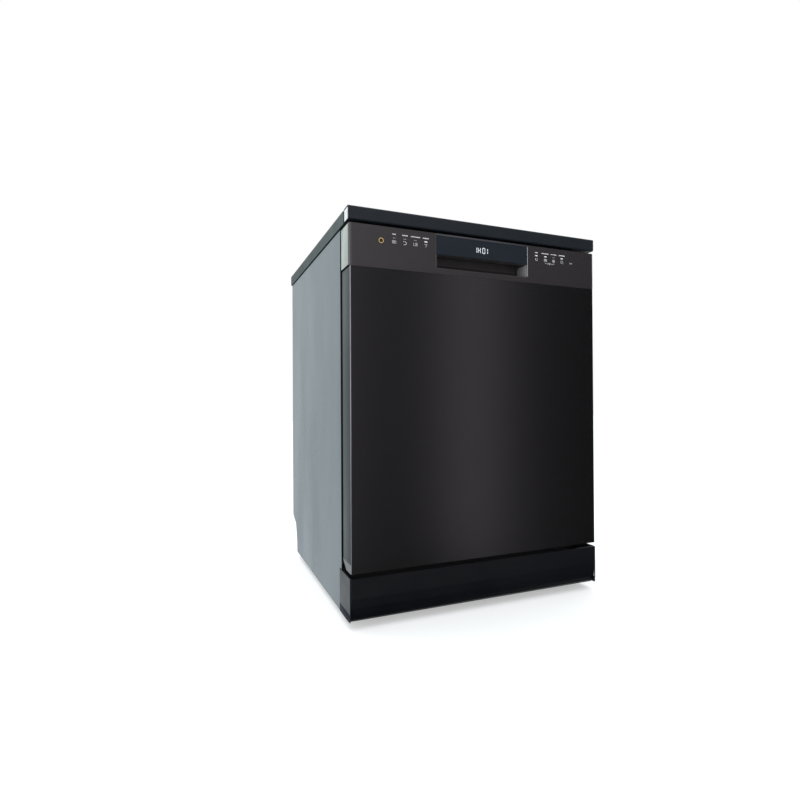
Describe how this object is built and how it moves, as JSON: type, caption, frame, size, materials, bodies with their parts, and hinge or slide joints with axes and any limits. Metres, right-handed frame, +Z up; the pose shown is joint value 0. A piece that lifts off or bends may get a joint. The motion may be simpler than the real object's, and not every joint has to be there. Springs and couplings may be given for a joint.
{
  "type": "dishwasher",
  "caption": "Freestanding or built-under dishwasher with a worktop lid, dark front with grip pocket and display, drop-down door, sliding racks and rotating spray arms.",
  "frame": {"origin": "on the floor, under the centre of the cabinet", "axes": "+Z up, the door faces -Y, and +X is on the right as seen from the front"},
  "size_m": [0.598, 0.606, 0.82],
  "materials": {
    "side_paint": "gloss",
    "worktop_laminate": "satin laminate",
    "dark_trim": "satin",
    "light_cap": "gloss",
    "galvanised": "matte",
    "black_steel_front": "satin black stainless look",
    "black_panel": "satin",
    "base_plastic": "matte",
    "foot_plastic": "matte",
    "tub_steel": "satin",
    "gasket_rubber": "matte",
    "grey_plastic": "matte",
    "rack_coating": "satin nylon coating",
    "insulation": "felt",
    "display_glass": "gloss",
    "bezel_metal": "satin",
    "lamp_white": "clear lens"
  },
  "bodies": {
    "cabinet": {"worktop": "worktop_laminate", "worktop_front_trim": "dark_trim", "worktop_end_caps": "light_cap", "left_side_panel": "side_paint", "right_side_panel": "side_paint", "rear_panel": "galvanised", "base_tray": "base_plastic", "kick_plate": "dark_trim", "tub_wrap": "tub_steel", "tub_rear_wall": "tub_steel", "tub_floor": "tub_steel", "tub_front_frame": "tub_steel", "tub_gasket": "gasket_rubber", "sump": "grey_plastic", "filter_plate": "tub_steel", "circulation_pump": "base_plastic", "drain_pump": "base_plastic", "water_softener": "base_plastic", "spray_feed_pipe": "grey_plastic", "air_break": "base_plastic", "hinge_brackets": "galvanised", "door_strike": "tub_steel", "rail_outer": "tub_steel", "inlet_valve": "base_plastic", "mains_gland": "base_plastic"},
    "door": {"door_outer_panel": "black_steel_front", "control_panel": "black_panel", "indicator_lights": "lamp_white", "handle_pocket": "dark_trim", "display_window": "display_glass", "handle_bezel": "bezel_metal", "door_liner": "tub_steel", "door_insulation": "insulation", "door_latch": "grey_plastic", "hinge_arms": "galvanised", "detergent_dispenser": "grey_plastic", "lower_door_seal": "gasket_rubber"},
    "dispenser_lid": {"dispenser_lid": "grey_plastic"},
    "rinse_aid_cap": {"rinse_aid_cap": "grey_plastic"},
    "upper_rack": {"upper_rack": "rack_coating", "upper_feed_tube": "grey_plastic"},
    "middle_rails": {"rail_middle": "tub_steel"},
    "middle_spray_arm": {"middle_spray_arm": "grey_plastic"},
    "cup_shelf_left": {"cup_shelf_left": "rack_coating"},
    "cup_shelf_right": {"cup_shelf_right": "rack_coating"},
    "lower_rack": {"lower_rack": "rack_coating", "cutlery_basket": "grey_plastic"},
    "folding_tines_front": {"folding_tines_front": "rack_coating"},
    "folding_tines_rear": {"folding_tines_rear": "rack_coating"},
    "front_wheels": {"lower_front_wheels": "grey_plastic"},
    "rear_wheels": {"lower_rear_wheels": "grey_plastic"},
    "lower_spray_arm": {"lower_spray_arm": "grey_plastic"},
    "top_spray_arm": {"top_spray_arm": "grey_plastic"},
    "filter_cylinder": {"filter_cylinder": "grey_plastic"},
    "salt_cap": {"salt_cap": "grey_plastic"},
    "float_cup": {"float_cup": "grey_plastic"},
    "foot_front_left": {"foot_front_left": "foot_plastic"},
    "foot_front_right": {"foot_front_right": "foot_plastic"},
    "foot_rear_left": {"foot_rear_left": "foot_plastic"},
    "foot_rear_right": {"foot_rear_right": "foot_plastic"}
  },
  "joints": [
    {"name": "door_hinge", "type": "hinge", "parent": "cabinet", "child": "door", "pos_m": [0, -0.278, 0.149], "axis": [1, 0, 0], "range_deg": [0, 90], "stiffness_Nm_per_rad": 12},
    {"name": "upper_rack_slide", "type": "slide", "parent": "cabinet", "child": "upper_rack", "axis": [0, -1, 0], "range_m": [0, 0.48]},
    {"name": "middle_rail_slide", "type": "slide", "parent": "cabinet", "child": "middle_rails", "axis": [0, -1, 0], "range_m": [0, 0.24]},
    {"name": "lower_rack_slide", "type": "slide", "parent": "cabinet", "child": "lower_rack", "axis": [0, -1, 0], "range_m": [0, 0.16]},
    {"name": "front_wheels_spin", "type": "hinge", "parent": "lower_rack", "child": "front_wheels", "pos_m": [0, -0.12, 0.1993], "axis": [1, 0, 0], "continuous": true},
    {"name": "rear_wheels_spin", "type": "hinge", "parent": "lower_rack", "child": "rear_wheels", "pos_m": [0, 0.18, 0.1993], "axis": [1, 0, 0], "continuous": true},
    {"name": "dispenser_lid_slide", "type": "slide", "parent": "door", "child": "dispenser_lid", "axis": [1, 0, 0], "range_m": [0, 0.068]},
    {"name": "rinse_aid_cap_turn", "type": "hinge", "parent": "door", "child": "rinse_aid_cap", "pos_m": [-0.037, -0.2575, 0.446], "axis": [0, 1, 0], "range_deg": [0, 90]},
    {"name": "middle_spray_arm_spin", "type": "hinge", "parent": "upper_rack", "child": "middle_spray_arm", "pos_m": [0, 0.01, 0.4255], "axis": [0, 0, 1], "continuous": true},
    {"name": "cup_shelf_left_fold", "type": "hinge", "parent": "upper_rack", "child": "cup_shelf_left", "pos_m": [-0.241, 0, 0.5465], "axis": [0, -1, 0], "range_deg": [0, 85]},
    {"name": "cup_shelf_right_fold", "type": "hinge", "parent": "upper_rack", "child": "cup_shelf_right", "pos_m": [0.241, 0, 0.5465], "axis": [0, 1, 0], "range_deg": [0, 85]},
    {"name": "folding_tines_front_fold", "type": "hinge", "parent": "lower_rack", "child": "folding_tines_front", "pos_m": [0, -0.0805, 0.214], "axis": [1, 0, 0], "range_deg": [0, 85]},
    {"name": "folding_tines_rear_fold", "type": "hinge", "parent": "lower_rack", "child": "folding_tines_rear", "pos_m": [0, 0.1195, 0.214], "axis": [1, 0, 0], "range_deg": [0, 85]},
    {"name": "lower_spray_arm_spin", "type": "hinge", "parent": "cabinet", "child": "lower_spray_arm", "pos_m": [0, 0.01, 0.1735], "axis": [0, 0, 1], "continuous": true},
    {"name": "top_spray_arm_spin", "type": "hinge", "parent": "cabinet", "child": "top_spray_arm", "pos_m": [0, 0.01, 0.7575], "axis": [0, 0, 1], "continuous": true},
    {"name": "filter_cylinder_turn", "type": "hinge", "parent": "cabinet", "child": "filter_cylinder", "pos_m": [0.1, 0.025, 0.12], "axis": [0, 0, 1], "range_deg": [0, 90]},
    {"name": "salt_cap_turn", "type": "hinge", "parent": "cabinet", "child": "salt_cap", "pos_m": [-0.185, -0.15, 0.156], "axis": [0, 0, 1], "range_deg": [0, 180]},
    {"name": "float_cup_lift", "type": "slide", "parent": "cabinet", "child": "float_cup", "axis": [0, 0, 1], "range_m": [0, 0.012]},
    {"name": "foot_front_left_thread", "type": "slide", "parent": "cabinet", "child": "foot_front_left", "axis": [0, 0, -1], "range_m": [0, 0.05]},
    {"name": "foot_front_right_thread", "type": "slide", "parent": "cabinet", "child": "foot_front_right", "axis": [0, 0, -1], "range_m": [0, 0.05]},
    {"name": "foot_rear_left_thread", "type": "slide", "parent": "cabinet", "child": "foot_rear_left", "axis": [0, 0, -1], "range_m": [0, 0.05]},
    {"name": "foot_rear_right_thread", "type": "slide", "parent": "cabinet", "child": "foot_rear_right", "axis": [0, 0, -1], "range_m": [0, 0.05]}
  ],
  "couplings": [
    {"joint": "upper_rack_slide", "follows": "door_hinge", "m_per_rad": 0.3},
    {"joint": "middle_rail_slide", "follows": "door_hinge", "m_per_rad": 0.15},
    {"joint": "lower_rack_slide", "follows": "door_hinge", "m_per_rad": 0.098},
    {"joint": "front_wheels_spin", "follows": "door_hinge", "ratio": 5.4444},
    {"joint": "rear_wheels_spin", "follows": "door_hinge", "ratio": 5.4444}
  ]
}
